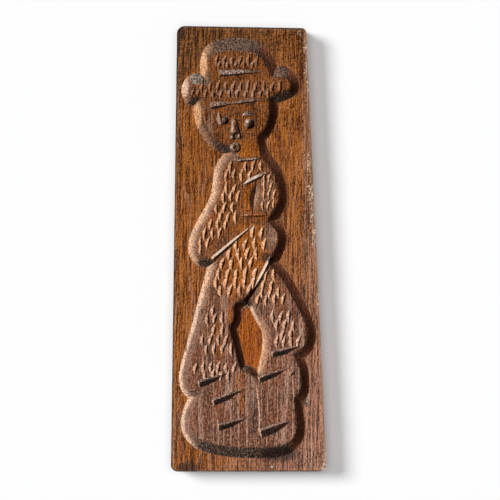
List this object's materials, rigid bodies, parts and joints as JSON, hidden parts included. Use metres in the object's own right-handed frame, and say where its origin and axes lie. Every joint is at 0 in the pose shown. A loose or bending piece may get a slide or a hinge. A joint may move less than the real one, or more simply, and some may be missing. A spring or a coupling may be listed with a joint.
{
  "type": "wooden speculaas mould",
  "caption": "Tapering wooden biscuit mould, a thick board with a man in a brimmed hat carved into its face as a sloping-walled recess with chip-cut clothes.",
  "frame": {"origin": "under the middle of the foot's width and half way along the board, on the surface that its flat back rests on", "axes": "+X across the board, to the right when the figure is seen upright; +Y from foot to hat; +Z out of the carved face"},
  "size_m": [0.1396, 0.3999, 0.023],
  "materials": {
    "wood": "old oiled hardwood, orange-brown with darker grain, satin where it was handled"
  },
  "bodies": {
    "root": {"mould_board": "wood"}
  },
  "joints": []
}
